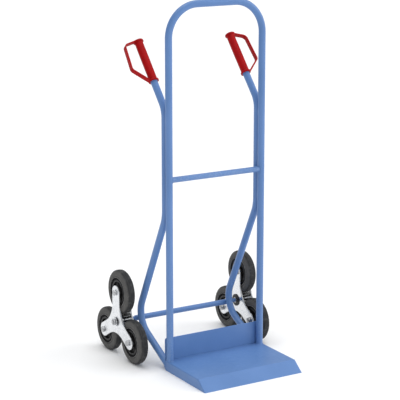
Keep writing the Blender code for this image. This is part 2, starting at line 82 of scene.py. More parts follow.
GRIP_TILT = math.radians(41)
GRIP_FOOT_BACK = 0.1015
GRIP_FOOT_Z = 1.0174
GRIP_LENGTH = 0.170
GRIP_BORE_DEPTH = 0.156
GRIP_RADIUS = 0.0148
COLLAR_RADIUS = 0.0185
COLLAR_THICK = 0.006
GUARD_WIDTH = 0.017
GUARD_THICK = 0.005
GUARD_LOW = (0.067, 0.053)
GUARD_HIGH = (0.060, 0.153)
GUARD_BENDS = (0.014, 0.018)
GUARD_ROOT = TUBE + 0.55 * GUARD_THICK  # where the guard starts, inside the collars

SHEET = 0.003
FOLD_REACH = 0.211
LIP_REACH = 0.258
FOLD_RADIUS = 0.0045
SEAM = 0.0012
BACK_CORNER = 0.006

STAR_X = 0.257
WHEEL_RADIUS = 0.080
ARM_LENGTH = 0.109
ARMS = 3
STAR_FACE = 0.025
STAR_SHEET = 0.0025
STAR_EDGE = 0.006
STAR_ROLL = 0.0022
ARM_HALF_WIDTH = 0.0255
ARM_TIP_RADIUS = 0.026
ARM_FILLET = 0.095
HUB_TUBE_RADIUS = 0.012
SHAFT_RADIUS = 0.007
BUSH_BORE = 0.0074
BUSH_RADIUS = 0.0095
BUSH_OUTER_FLANGE = 0.0125  # flange radius on the star's outer face
BUSH_INNER_FLANGE = 0.0225  # and on its inner face
BUSH_FLANGE = 0.0025
BUSH_LENGTH = 0.016
BOLT_RADIUS = 0.006
HEX_APOTHEM = 0.0095
BOLT_HEAD = 0.0075
NUT_THICK = 0.010
BOLT_TAIL = 0.002
SLEEVE_RADIUS = 0.010
CLIP_THICK = 0.0015
WASHER_RADIUS = 0.017
WASHER_THICK = 0.002
AXLE_NUT_APOTHEM = 0.0108
AXLE_NUT_THICK = 0.007
AXLE_THREAD = 0.008  # length of the axle's threaded ends
THREAD_PITCH = 0.00125
THREAD_DEPTH = 0.0006
THREAD_END = 0.0012  # how far a shank's end is chamfered in
HEX_WHOLE = 1.16  # circle just past a hexagon's corners, in apothems
HEX_CHAMFER = 1.06  # and the one that trims them halfway down the chamfer

TYRE_HALF_WIDTH = 0.0175
BEAD_BAND = 0.0520  # outer radius of the band next to the rim, painted dark as shade
RIDGE_BAND = 0.0539  # and of the light moulded ridge round it
GROOVE_BAND = 0.0552  # and of the groove outside the ridge, painted dark as shade
RIM_RADIUS = 0.044
RIM_HALF_WIDTH = 0.0155
RIM_WALL = 0.006
WEB_HALF_WIDTH = 0.004
RIB_HEIGHT = 0.005
RIBS = 6
RIB_FOOT = math.radians(6.5)
RIB_FLANK = math.radians(3.5)
WHEEL_HUB_RADIUS = 0.016
WHEEL_HUB_HALF = 0.0217

WELD = 0.0021  # radius of a weld bead
WELD_PITCH = 0.0021
WELD_RIPPLE = 0.10
STITCH_HALF = 0.013  # half the length of a bead on the rails
PLATE_STITCH = 0.014  # length of a bead on the back plate
CROOK_RING = 0.0070  # radius of the weld between a rail and the axle crossbar

SIDES = {"left": -1, "right": 1}
ROUND = 48  # sides of a tube
FINE_ROUND = 72  # of a bolt, a nut and the end of a crossbar
TYRE_ROUND = 128
RIM_ROUND = 180
BEAD_ROUND = 10  # of a weld bead
LOOP_ROUND = 96  # points of a weld round a tube's end
FOLD_STEPS = 6  # steps across a fold of the toe plate
FACE_MARGIN = 0.002  # between a flat face's edge and its first row of points
CUT_OVERRUN = 0.002  # how far a cutter runs past the sheet it cuts


# -------- mesh building

def circle(radius, sides=ROUND):
    """Points round a circle, as pairs."""
    return [(radius * math.cos(math.tau * i / sides), radius * math.sin(math.tau * i / sides))
            for i in range(sides)]


def skin(bm, rings, closed=False):
    """Faces between rings of equal length; an open row of rings gets two end caps."""
    loops = [[bm.verts.new(point) for point in ring] for ring in rings]
    following = loops[1:] + loops[:1] if closed else loops[1:]
    count = len(loops[0])
    for lower, upper in zip(loops, following):
        for i in range(count):
            j = (i + 1) % count
            bm.faces.new((lower[i], lower[j], upper[j], upper[i]))
    if not closed:
        bm.faces.new(reversed(loops[0]))
        bm.faces.new(loops[-1])


def bend_path(corners, radii, step=math.radians(4)):
    """Points and directions along straight runs joined by arcs."""
    path = [(corners[0], (corners[1] - corners[0]).normalized())]
    for before, corner, after, radius in zip(corners, corners[1:], corners[2:], radii):
        coming = (corner - before).normalized()
        going = (after - corner).normalized()
        turn = coming.angle(going)
        inward = (going - coming).normalized()
        centre = corner + inward * radius / math.cos(turn / 2)
        axis = coming.cross(going).normalized()
        start = corner - coming * radius * math.tan(turn / 2) - centre
        count = max(3, round(turn / step))
        for i in range(count + 1):
            spin = Matrix.Rotation(turn * i / count, 3, axis)
            path.append((centre + spin @ start, spin @ coming))
    path.append((corners[-1], (corners[-1] - corners[-2]).normalized()))
    return path


def sweep_rings(path, flat, outline):
    """Rings of one outline along a path that lies in a plane with normal flat."""
    return [[point + flat.cross(along) * u + flat * v for u, v in outline]
            for point, along in path]


def arc(centre, radius, start, stop, steps):
    """Points along an arc from one angle to another, as pairs."""
    angles = [start + (stop - start) * i / steps for i in range(steps + 1)]
    return [(centre[0] + radius * math.cos(angle), centre[1] + radius * math.sin(angle))
            for angle in angles]


def turned_rings(profile, sides=ROUND):
    """Rings round the X axis, one for each (x, radius)."""
    return [[Vector((x, u, v)) for u, v in circle(radius, sides)] for x, radius in profile]


def rounded(profile, radius, steps=4):
    """The profile with each corner between its two ends given a small arc."""
    result = [profile[0]]
    for before, corner, after in zip(profile, profile[1:], profile[2:]):
        corner = Vector(corner)
        coming = corner - Vector(before)
        going = Vector(after) - corner
        cut = min(radius, coming.length * 0.45, going.length * 0.45)
        start = corner - coming.normalized() * cut
        stop = corner + going.normalized() * cut
        for i in range(steps + 1):
            t = i / steps
            point = start.lerp(corner, t).lerp(corner.lerp(stop, t), t)
            result.append((point.x, point.y))
    result.append(profile[-1])
    return result


def rounded_loop(corners, radius):
    """A closed profile with every corner rounded."""
    return rounded([corners[-1]] + corners + [corners[0]], radius, steps=3)[1:-1]


def tube_profile(low, high, bore, radius, edge=0.0005):
    """Closed profile of a tube from low to high with soft edges."""
    return rounded_loop([(low, bore), (low, radius), (high, radius), (high, bore)], edge)


def placed(bm, place):
    bmesh.ops.translate(bm, vec=place, verts=bm.verts)
    return bm


def turned_mesh(profile, place, sides=ROUND):
    bm = bmesh.new()
    skin(bm, turned_rings(profile, sides), closed=True)
    return placed(bm, place)


def weld_mesh(bm, path, outward, radius=WELD, closed=True):
    """A rippled bead along a path; outward lists the direction away from the joint.

    The ends of an open bead thin out.
    """
    count = len(path)
    rings = []
    travelled = 0.0
    for i, point in enumerate(path):
        after = path[(i + 1) % count] if closed else path[min(i + 1, count - 1)]
        before = path[i - 1] if closed or i else path[0]
        along = (after - before).normalized()
        out = (outward[i] - along * outward[i].dot(along)).normalized()
        side = along.cross(out)
        if i:
            travelled += (point - path[i - 1]).length
        ripple = abs(math.sin(math.pi * travelled / WELD_PITCH))
        size = radius * (1 - WELD_RIPPLE + WELD_RIPPLE * ripple)
        if not closed:
            size *= math.sin(math.pi * (i + 0.7) / (count + 0.4)) ** 0.4
        rings.append([point + (out * u + side * v) * size for u, v in circle(1.0, BEAD_ROUND)])
    skin(bm, rings, closed)


# -------- pieces

def add_object(name, data):
    made = bpy.data.objects.new(name, data)
    bpy.context.scene.collection.objects.link(made)
    return made


def to_mesh(name, bm):
    mesh = bpy.data.meshes.new(name)
    bm.to_mesh(mesh)
    bm.free()
    return mesh


def shade(mesh, sharp):
    """Smooth shading that breaks at edges sharper than the angle."""
    mesh.shade_smooth()
    mesh.set_sharp_from_angle(angle=sharp)


def piece(name, bm, look, body, nodes=(), sharp=math.radians(38)):
    """Make the mesh a piece that rides on a body and stands for these CAD nodes.

    look is one material, or a list of them for a mesh that sets material_index.
    """
    bmesh.ops.recalc_face_normals(bm, faces=bm.faces)
    mesh = to_mesh(name, bm)
    shade(mesh, sharp)
    for each in look if isinstance(look, list) else [look]:
        mesh.materials.append(each)
    made = add_object(name, mesh)
    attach(made, body)
    if nodes:
        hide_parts(*nodes)
    return made


def apply_modifiers(made):
    """Freeze the modifiers into the mesh."""
    graph = bpy.context.evaluated_depsgraph_get()
    fresh = bpy.data.meshes.new_from_object(made.evaluated_get(graph), depsgraph=graph)
    made.modifiers.clear()
    old = made.data
    made.data = fresh
    fresh.name = old.name
    bpy.data.meshes.remove(old)


def combine(made, bm, operation):
    """Cut or join a second closed mesh into the piece."""
    bmesh.ops.recalc_face_normals(bm, faces=bm.faces)
    tool = add_object("tool", to_mesh("tool", bm))
    step = made.modifiers.new("combine", "BOOLEAN")
    step.operation = operation
    step.solver = "EXACT"
    step.object = tool
    apply_modifiers(made)
    bpy.data.objects.remove(tool)
    shade(made.data, math.radians(32))


def weigh_normals(made):
    """Shade large faces flat up to the small arcs between them."""
    step = made.modifiers.new("flat faces first", "WEIGHTED_NORMAL")
    step.keep_sharp = True


# -------- materials

class Look:
    """A Principled material and short calls that wire procedural nodes into it."""

    def __init__(self, name, metallic=0.0, coat=0.0, coat_roughness=0.2, specular=0.5):
        self.material = bpy.data.materials.new(name)
        self.material.use_nodes = True
        self.tree = self.material.node_tree
        self.shader = self.tree.nodes["Principled BSDF"]
        self.shader.inputs["Metallic"].default_value = metallic
        self.shader.inputs["Coat Weight"].default_value = coat
        self.shader.inputs["Coat Roughness"].default_value = coat_roughness
        self.shader.inputs["Specular IOR Level"].default_value = specular
        self.place = self.add("ShaderNodeTexCoord").outputs["Object"]
        self.geometry = self.add("ShaderNodeNewGeometry")

    def add(self, kind, settings=None, **inputs):
        made = self.tree.nodes.new(kind)
        for key, value in (settings or {}).items():
            setattr(made, key, value)
        for key, value in inputs.items():
            self.feed(made.inputs[key.replace("_", " ")], value)
        return made

    def feed(self, socket, value):
        if isinstance(value, bpy.types.NodeSocket):
            self.tree.links.new(value, socket)
        else:
            socket.default_value = value

    def noise(self, scale, detail=2.0, rough=0.5, stretch=None):
        place = self.place
        if stretch:
            place = self.add("ShaderNodeMapping", Vector=place, Scale=stretch).outputs[0]
        return self.add("ShaderNodeTexNoise", Vector=place, Scale=scale, Detail=detail,
                        Roughness=rough).outputs["Fac"]

    def patches(self, scale, detail=2.0, rough=0.5):
        """Soft patches that run the whole way from 0 to 1."""
        return self.span(self.noise(scale, detail, rough), 0.3, 0.7)

    def facing(self, low, high, to_low=0.0, to_high=1.0):
        """How squarely a face looks along X, the line of the axle."""
        normal = self.add("ShaderNodeSeparateXYZ", Vector=self.geometry.outputs["True Normal"])
        return self.span(self.maths("ABSOLUTE", normal.outputs[0]), low, high, to_low, to_high)

    def cells(self, scale):
        return self.add("ShaderNodeTexVoronoi", Vector=self.place, Scale=scale).outputs["Color"]

    def span(self, value, low, high, to_low=0.0, to_high=1.0):
        made = self.add("ShaderNodeMapRange", {"interpolation_type": "SMOOTHSTEP"}, Value=value)
        for key, number in (("From Min", low), ("From Max", high), ("To Min", to_low),
                            ("To Max", to_high)):
            made.inputs[key].default_value = number
        return made.outputs["Result"]

    def maths(self, operation, first, second=0.0):
        made = self.add("ShaderNodeMath", {"operation": operation})
        self.feed(made.inputs[0], first)
        self.feed(made.inputs[1], second)
        return made.outputs[0]

    def mix(self, share, first, second):
        made = self.add("ShaderNodeMix", {"data_type": "RGBA"})
        self.feed(made.inputs[0], share)
        for socket, colour in ((made.inputs[6], first), (made.inputs[7], second)):
            self.feed(socket, (*colour, 1.0) if isinstance(colour, tuple) else colour)
        return made.outputs[2]

    def edges(self, low, high):
        """Share of wear on convex edges, broken up by grain."""
        worn = self.span(self.geometry.outputs["Pointiness"], low, high)
        return self.maths("MULTIPLY", worn, self.span(self.noise(240, 4), 0.42, 0.62))

    def finish(self, colour, roughness, heights):
        """heights is (socket, strength, distance) from coarse to fine."""
        self.feed(self.shader.inputs["Base Color"], colour)
        self.feed(self.shader.inputs["Roughness"], roughness)
        normal = None
        for height, strength, distance in heights:
            bump = self.add("ShaderNodeBump", Height=height, Strength=strength, Distance=distance)
            if normal:
                self.feed(bump.inputs["Normal"], normal)
            normal = bump.outputs["Normal"]
        if normal:
            self.feed(self.shader.inputs["Normal"], normal)
        return self.material


def blue_paint():
    deep, pale = (0.098, 0.205, 0.450), (0.114, 0.228, 0.490)
    speck, worn = (0.082, 0.172, 0.400), (0.300, 0.390, 0.560)
    look = Look("blue_powder_coat", coat=0.12, coat_roughness=0.22, specular=0.35)
    tone = look.mix(look.patches(7, 3), deep, pale)
    tone = look.mix(look.span(look.noise(420, 3, 0.7), 0.60, 0.72, 0.0, 0.25), tone, speck)
    tone = look.mix(look.maths("MULTIPLY", look.edges(0.53, 0.62), 0.45), tone, worn)
    rough = look.span(look.noise(60, 5, 0.6), 0.25, 0.75, 0.34, 0.46)
    return look.finish(tone, rough, [(look.noise(90, 2), 0.05, 0.0006),
                                     (look.noise(900, 2, 0.6), 0.06, 0.0003)])


def red_plastic():
    deep, pale = (0.320, 0.0012, 0.0025), (0.380, 0.0022, 0.0040)
    worn = (0.560, 0.060, 0.055)
    look = Look("red_moulded_plastic", specular=0.12)
    tone = look.mix(look.patches(30, 4), deep, pale)
    tone = look.mix(look.maths("MULTIPLY", look.edges(0.53, 0.60), 0.35), tone, worn)
    rough = look.span(look.noise(150, 4, 0.6), 0.3, 0.7, 0.36, 0.48)
    return look.finish(tone, rough, [(look.noise(700, 2, 0.6), 0.05, 0.0002)])


def zinc_plate(name, edge_shade_share, rough_low, rough_high):
    """Zinc plating; the second argument sets how much painted shade darkens the faces that turn
    away from the axle's line.
    """
    dull, bright = (0.720, 0.735, 0.755), (0.830, 0.840, 0.855)
    # edge is the colour of painted shade for the turned edges
    cloud, stain, edge = (0.600, 0.620, 0.650), (0.420, 0.430, 0.440), (0.250, 0.258, 0.270)
    look = Look(name, metallic=1.0)
    tone = look.mix(look.cells(160), dull, bright)
    tone = look.mix(look.span(look.noise(45, 5, 0.65), 0.48, 0.72, 0.0, 0.55), tone, cloud)
    tone = look.mix(look.span(look.noise(300, 4, 0.7), 0.58, 0.72, 0.0, 0.45), tone, stain)
    # painted shade: faces turned away from the axle's line are mixed towards the edge colour
    tone = look.mix(look.facing(0.20, 0.97, edge_shade_share, 0.0), tone, edge)
    rough = look.span(look.noise(80, 5, 0.6), 0.25, 0.75, rough_low, rough_high)
    return look.finish(tone, rough, [(look.noise(60, 3), 0.06, 0.0008),
                                     (look.noise(700, 3, 0.6, (1.0, 1.0, 0.25)), 0.10, 0.0002)])


def machined_steel():
    dull, bright = (0.330, 0.335, 0.345), (0.500, 0.505, 0.515)
    stain = (0.160, 0.150, 0.145)
    look = Look("machined_steel", metallic=1.0)
    tone = look.mix(look.patches(120, 5, 0.65), dull, bright)
    tone = look.mix(look.span(look.noise(500, 4, 0.7), 0.60, 0.72, 0.0, 0.5), tone, stain)
    rough = look.span(look.noise(200, 4), 0.3, 0.7, 0.20, 0.34)
    return look.finish(tone, rough, [(look.noise(500, 3, 0.6, (4.0, 1.0, 1.0)), 0.15, 0.0002)])


def tyre_rubber(name, tread, wall, specular=0.30):
    """Rubber of one colour on the tread and shoulders and another on the flat wall; the darker
    tread is partly the rubber's own tone and partly painted shade.
    """
    dust = tuple(channel * 1.6 for channel in wall)
    pore = (0.014, 0.014, 0.015)
    look = Look(name, specular=specular)
    # faces turned away from the axle's line take the tread colour, partly painted shade
    tone = look.mix(look.facing(0.55, 0.90), tread, wall)
    tone = look.mix(look.span(look.noise(55, 6, 0.7), 0.45, 0.75, 0.0, 0.45), tone, dust)
    tone = look.mix(look.span(look.noise(420, 4, 0.7), 0.50, 0.70, 0.0, 0.55), tone, pore)
    rough = look.span(look.noise(90, 5, 0.6), 0.3, 0.7, 0.66, 0.84)
    return look.finish(tone, rough, [(look.noise(260, 4, 0.6), 0.12, 0.0006),
                                     (look.noise(1500, 2), 0.20, 0.0002)])


def black_plastic():
    deep, pale = (0.010, 0.010, 0.011), (0.018, 0.018, 0.019)
    worn = (0.080, 0.080, 0.080)
    look = Look("black_moulded_plastic", specular=0.40)
    tone = look.mix(look.patches(70, 4), deep, pale)
    tone = look.mix(look.maths("MULTIPLY", look.edges(0.54, 0.62), 0.4), tone, worn)
    rough = look.span(look.noise(180, 4, 0.6), 0.3, 0.7, 0.40, 0.56)
    return look.finish(tone, rough, [(look.noise(1100, 2, 0.6), 0.15, 0.0002)])


def floor_look():
    look = Look("pale_floor", specular=0.2)
    tone = look.mix(look.patches(2, 3), (0.92, 0.92, 0.92), (0.94, 0.94, 0.94))
    return look.finish(tone, 0.85, [])


def make_looks():
    return {
        "paint": blue_paint(),
        "red": red_plastic(),
        # the plates and washers get painted shade on their turned faces; the spacer gets none
        "zinc": zinc_plate("zinc_with_painted_edge_shade", 0.75, rough_low=0.20, rough_high=0.36),
        "tube_zinc": zinc_plate("smooth_zinc", 0.0, rough_low=0.06, rough_high=0.14),
        "steel": machined_steel(),
        "black": black_plastic(),
        "rubber": tyre_rubber("grey_tyre_rubber", (0.024, 0.025, 0.027), (0.092, 0.090, 0.087)),
        # bead is painted shade, for the recessed band next to the rim and the groove by the ridge
        "bead": tyre_rubber("tyre_band_painted_shade", (0.007, 0.007, 0.008), (0.007, 0.007, 0.008),
                            specular=0.08),
        # ridge is a lighter rubber on the moulded ridge
        "ridge": tyre_rubber("pale_ridge_rubber", (0.190, 0.188, 0.185), (0.210, 0.208, 0.205)),
    }


# -------- frame tubes

def make_frame_tube(paint):
    top = frame_high.z - TUBE
    corners = [Vector((x, UPRIGHT_Y, z)) for x, z in (
        (-UPRIGHT_X, FOOT_Z), (-UPRIGHT_X, top), (UPRIGHT_X, top), (UPRIGHT_X, FOOT_Z))]
    bm = bmesh.new()
    path = bend_path(corners, [BOW_RADIUS, BOW_RADIUS], step=math.radians(3))
    skin(bm, sweep_rings(path, Vector((0, 1, 0)), circle(TUBE)))
    piece("frame_tube", bm, paint, "frame", ["main_frame"])


def rail_corners(x):
    """The ends of the rail's four straight runs, from inside the grip to the back plate."""
    grip_way = Vector((0, math.sin(GRIP_TILT), math.cos(GRIP_TILT)))
    run_way = Vector((0, math.sin(RAIL_LEAN), -math.cos(RAIL_LEAN)))
    tail_way = Vector((0, -math.cos(TAIL_SLOPE), -math.sin(TAIL_SLOPE)))
    rail_y = UPRIGHT_Y + RAIL_SETBACK
    foot = Vector((x, UPRIGHT_Y + GRIP_FOOT_BACK, GRIP_FOOT_Z))
    tip = foot + grip_way * (GRIP_BORE_DEPTH - 2 * GAP)
    neck = foot - grip_way * ((foot.y - rail_y) / grip_way.y)
    outward = (run_way - tail_way).normalized()
    bend_centre = Vector((x, AXLE_Y, AXLE_Z)) - outward * (CROOK_RADIUS + TUBE + BAR + GAP)
    crook = bend_centre + outward * CROOK_RADIUS / math.cos(run_way.angle(tail_way) / 2)
    shoulder = crook - run_way * ((crook.y - rail_y) / run_way.y)
    end = crook + tail_way * ((back_high.y + GAP - crook.y) / tail_way.y)
    return [tip, neck, shoulder, crook, end]


def make_rail_tube(side, sign, paint):
    corners = rail_corners(sign * UPRIGHT_X)
    path = bend_path(corners, [NECK_RADIUS, SHOULDER_RADIUS, CROOK_RADIUS],
                     step=math.radians(2.5))
    rings = sweep_rings(path, Vector((1, 0, 0)), circle(TUBE))
    along = path[-1][1]
    rings[-1] = [point + along * ((back_high.y + GAP - point.y) / along.y) for point in rings[-1]]
    bm = bmesh.new()
    skin(bm, rings)
    piece(f"{side}_rail_tube", bm, paint, "frame", [f"{side}_side_rail"])


def saddle(radius, sign, reach):
    """Closed curve where a level bar meets an upright."""
    points = []
    for u, v in circle(radius, FINE_ROUND):
        x = UPRIGHT_X - math.sqrt(reach ** 2 - u ** 2)
        points.append(Vector((sign * x, UPRIGHT_Y + u, MID_BAR_Z + v)))
    return points


def make_crossbars(paint):
    bm = bmesh.new()
    skin(bm, [saddle(BAR, -1, TUBE - GAP), saddle(BAR, 1, TUBE - GAP)])
    piece("mid_crossbar_tube", bm, paint, "frame", ["mid_crossbar"])
    bore = SHAFT_RADIUS + 2 * GAP
    bar = turned_mesh(tube_profile(axle_bar_low.x, axle_bar_high.x, bore, BAR), AXLE_CENTRE)
    piece("axle_crossbar_tube", bar, paint, "frame", ["axle_crossbar"])


# -------- welds

def add_foot_weld(bm, x):
    """Round an upright's foot, on the toe plate."""
    centre = Vector((x, UPRIGHT_Y, PLATE_TOP))
    path = [centre + Vector((u, v, 0)) for u, v in circle(TUBE + WELD / 3, LOOP_ROUND)]
    weld_mesh(bm, path, [point - centre for point in path])


def add_saddle_weld(bm, sign):
    path = saddle(BAR + WELD / 3, sign, TUBE)
    centre = Vector((0, UPRIGHT_Y, MID_BAR_Z))
    outward = [Vector((0, point.y - centre.y, point.z - centre.z)) for point in path]
    weld_mesh(bm, path, outward, radius=WELD * 0.85)


def add_tail_weld(bm, end):
    """Round the rail's slanted end, on the back of the back plate."""
    stretch = 1 / math.cos(TAIL_SLOPE)
    path = [Vector((end.x + u, back_high.y + GAP, end.z + v * stretch))
            for u, v in circle(TUBE + WELD / 3, LOOP_ROUND)]
    weld_mesh(bm, path, [point - Vector((end.x, point.y, end.z)) for point in path])


def add_crook_weld(bm, x):
    """A ring in the gap round the point where the rail's bend touches the axle crossbar."""
    crook = rail_corners(x)[3]
    centre = Vector((x, AXLE_Y, AXLE_Z))
    toward = (Vector((x, crook.y, crook.z)) - centre).normalized()
    along = Vector((1, 0, 0)).cross(toward)
    contact = centre + toward * BAR
    path = [contact + Vector((1, 0, 0)) * u + along * v for u, v in circle(CROOK_RING)]
    weld_mesh(bm, path, [point - contact for point in path], radius=WELD * 1.15)


def add_stitch(bm, start, stop, out, radius, count=28):
    """A short straight bead that leans out of its groove."""
    path = [start.lerp(stop, i / (count - 1)) for i in range(count)]
    weld_mesh(bm, path, [out] * count, radius, closed=False)


def add_rail_stitches(bm, x):
    """Short beads in the grooves where the rail runs along its upright."""
    neck, shoulder = rail_corners(x)[1:3]
    highest = neck.z - NECK_RADIUS * math.tan(GRIP_TILT / 2) - STITCH_HALF
    lowest = shoulder.z + SHOULDER_RADIUS * math.tan(RAIL_LEAN / 2) + STITCH_HALF
    middle = UPRIGHT_Y + RAIL_SETBACK / 2
    for z in (lowest, highest):
        for way in (-1, 1):
            groove = x + way * TUBE * 0.44
            start = Vector((groove, middle, z - STITCH_HALF))
            stop = Vector((groove, middle, z + STITCH_HALF))
            add_stitch(bm, start, stop, Vector((way, 0, 0)), WELD * 1.25)


def add_plate_stitches(bm, x):
    """Short beads down the grooves between an upright and the back plate."""
    for way in (-1, 1):
        for low in (PLATE_TOP + 0.016, back_high.z - 0.018):
            groove = Vector((x + way * TUBE * 0.52, back_low.y - WELD * 0.4, low))
            add_stitch(bm, groove, groove + Vector((0, 0, PLATE_STITCH)), Vector((way, -1, 0)),
                       WELD * 0.9)


def make_welds(paint):
    bm = bmesh.new()
    for sign in SIDES.values():
        x = sign * UPRIGHT_X
        add_foot_weld(bm, x)
        add_saddle_weld(bm, sign)
        add_tail_weld(bm, rail_corners(x)[-1])
        add_crook_weld(bm, x)
        add_rail_stitches(bm, x)
        add_plate_stitches(bm, x)
    piece("frame_welds", bm, paint, "frame", sharp=math.radians(80))


# -------- toe plate and back plate

def fold_points(start, way_in, way_out):
    """A fold's arc in a plane, which turns from way_in to way_out and is tangent at start."""
    turn = way_in.angle(way_out)
    normal = (way_out - way_in * way_in.dot(way_out)).normalized()
    centre = start + normal * FOLD_RADIUS
    points = []
    for i in range(FOLD_STEPS + 1):
        angle = turn * i / FOLD_STEPS
        points.append(centre - normal * FOLD_RADIUS * math.cos(angle)
                      + way_in * FOLD_RADIUS * math.sin(angle))
    return points


def spaced(low, high, margin, count):
    """Even stations with one close to each end, which keeps flat faces flat in the shading."""
    inner = [low + margin + (high - low - 2 * margin) * i / count for i in range(count + 1)]
    return [low] + inner + [high]


def toe_sections():
    """The lip's (Y, Z) line from the top's front edge down to the floor, and its slope."""
    slope = Vector((FOLD_REACH - LIP_REACH, -PLATE_TOP)).normalized()
    level = Vector((-1, 0))
    turn = level.angle(slope)
    start = Vector((UPRIGHT_Y - FOLD_REACH + FOLD_RADIUS * math.tan(turn / 2), PLATE_TOP))
    bend = fold_points(start, level, slope)
    foot = bend[-1] + slope * ((0 - bend[-1].y) / slope.y)
    run = [bend[-1].lerp(foot, share) for share in (0.04, 0.35, 0.65, 0.97, 1.0)]
    return bend + run, slope


def join_rows(bm, near, far, flip=False):
    """Faces between two open rows of points."""
    for i in range(len(near) - 1):
        corners = (near[i], near[i + 1], far[i + 1], far[i])
        bm.faces.new(corners[::-1] if flip else corners)


def make_toe_sheet():
    """Top, sloping lip and two side flanges of one folded sheet, open at the corner seams."""
    lip, slope = toe_sections()
    flat_half = plate_high.x - FOLD_RADIUS
    bm = bmesh.new()
    columns = spaced(plate_high.y, lip[0].x, -FACE_MARGIN, count=8)
    stations = spaced(-flat_half, flat_half, FACE_MARGIN, count=16)
    grid = [[bm.verts.new((x, y, PLATE_TOP)) for x in stations] for y in columns]
    for near, far in zip(grid, grid[1:]):
        join_rows(bm, near, far)
    add_lip(bm, grid[-1], stations, lip)
    for sign, side in ((-1, 0), (1, -1)):
        add_flange(bm, [row[side] for row in grid], sign, slope)
    bmesh.ops.recalc_face_normals(bm, faces=bm.faces)
    if next(face for face in bm.faces if abs(face.normal.z) > 0.99).normal.z < 0:
        bmesh.ops.reverse_faces(bm, faces=bm.faces)
    return bm


def add_lip(bm, edge, stations, lip):
    """Rows of the lip; its ends widen round the fold to meet the flanges at a seam."""
    widest = plate_high.x - SEAM
    flat_half = stations[-1]
    above = edge
    for number, place in enumerate(lip[1:], 1):
        share = min(1.0, number / FOLD_STEPS)
        half = flat_half + (widest - flat_half) * share * share
        row = [bm.verts.new((x * half / flat_half, place.x, place.y)) for x in stations]
        join_rows(bm, above, row)
        above = row


def add_flange(bm, edge, sign, slope):
    """Rows of a side flange, whose front edge follows the lip's slope."""
    start = Vector((plate_high.x - FOLD_RADIUS, PLATE_TOP))
    bend = fold_points(start, Vector((1, 0)), Vector((0, -1)))
    foot = Vector((plate_high.x, 0.0))
    rows = bend[1:] + [bend[-1].lerp(foot, share) for share in (0.06, 0.5, 0.96, 1.0)]
    rear = edge[0].co.y
    front = edge[-1].co.y
    above = edge
    for x, z in rows:
        shift = (z - PLATE_TOP) * slope.x / slope.y
        scale = (front + shift + SEAM - rear) / (front - rear)
        row = [bm.verts.new((sign * x, rear + (vert.co.y - rear) * scale, z)) for vert in edge]
        join_rows(bm, above, row, flip=sign > 0)
        above = row


def cut_level(made):
    """Cut the piece off at the floor and close its foot."""
    bm = bmesh.new()
    bm.from_mesh(made.data)
    everything = bm.verts[:] + bm.edges[:] + bm.faces[:]
    cut = bmesh.ops.bisect_plane(bm, geom=everything, plane_co=(0, 0, 0), plane_no=(0, 0, -1),
                                 clear_outer=True)
    rim = [item for item in cut["geom_cut"] if isinstance(item, bmesh.types.BMEdge)]
    bmesh.ops.triangle_fill(bm, edges=rim, use_beauty=True)
    bm.to_mesh(made.data)
    bm.free()


def make_toe_plate(paint):
    made = piece("toe_plate_sheet", make_toe_sheet(), paint, "frame",
                 ["toe_plate"])
    solid = made.modifiers.new("sheet", "SOLIDIFY")
    solid.thickness = SHEET
    solid.offset = -1.0
    solid.use_even_offset = True
    edge = made.modifiers.new("deburred edge", "BEVEL")
    edge.width = 0.0005
    edge.segments = 2
    edge.limit_method = "ANGLE"
    edge.angle_limit = math.radians(50)
    apply_modifiers(made)
    cut_level(made)
    shade(made.data, math.radians(50))
    weigh_normals(made)


def plate_outline(inset):
    """(X, Z) of the back plate: square at its foot, rounded at the top corners."""
    half = back_high.x - inset
    low = back_low.z + inset
    high = back_high.z - inset
    radius = BACK_CORNER - inset
    points = [(-half, low), (half, low)]
    for x, start in ((half - radius, 0.0), (-half + radius, math.pi / 2)):
        points += arc((x, high - radius), radius, start, start + math.pi / 2, steps=8)
    return points


def make_back_plate(paint):
    soft = 0.0006
    levels = [(0.0, 3 * soft), (0.0, soft), (soft * 0.3, soft * 0.3), (soft, 0.0)]
    levels += [(SHEET - depth, inset) for depth, inset in reversed(levels)]
    rings = [[Vector((x, back_low.y + depth, z)) for x, z in plate_outline(inset)]
             for depth, inset in levels]
    bm = bmesh.new()
    skin(bm, rings)
    made = piece("back_plate_sheet", bm, paint, "frame", ["back_plate"],
                 sharp=math.radians(60))
    weigh_normals(made)


# -------- grips

def grip_frame(sign):
    """Z runs up the grip, X is outboard on both sides."""
    way = Vector((0, math.sin(GRIP_TILT), math.cos(GRIP_TILT)))
    out = Vector((sign, 0, 0))
    foot = Vector((sign * UPRIGHT_X, UPRIGHT_Y + GRIP_FOOT_BACK, GRIP_FOOT_Z))
    return Matrix((out, way.cross(out), way)).transposed().to_4x4(), foot


def grip_profile():
    """(height, radius) from the blind end of the bore out to the domed cap."""
    top = GRIP_LENGTH
    shoulder = top - COLLAR_THICK - 0.0015
    steps = 14
    swell = [(COLLAR_THICK + 0.002 + (shoulder - COLLAR_THICK - 0.004) * i / steps,
              GRIP_RADIUS - 0.0002 + 0.0004 * math.sin(math.pi * i / steps))
             for i in range(steps + 1)]
    corners = [(GRIP_BORE_DEPTH, TUBE + GAP), (0, TUBE + GAP), (0, COLLAR_RADIUS),
               (COLLAR_THICK, COLLAR_RADIUS), (COLLAR_THICK, GRIP_RADIUS)]
    cap = [(shoulder, GRIP_RADIUS), (shoulder, COLLAR_RADIUS), (top - 0.002, COLLAR_RADIUS),
           (top - 0.0006, COLLAR_RADIUS - 0.005), (top, COLLAR_RADIUS / 3)]
    foot = rounded(corners, radius=0.0010, steps=3)[:-1]
    return foot + swell + rounded(cap, radius=0.0012)[1:]


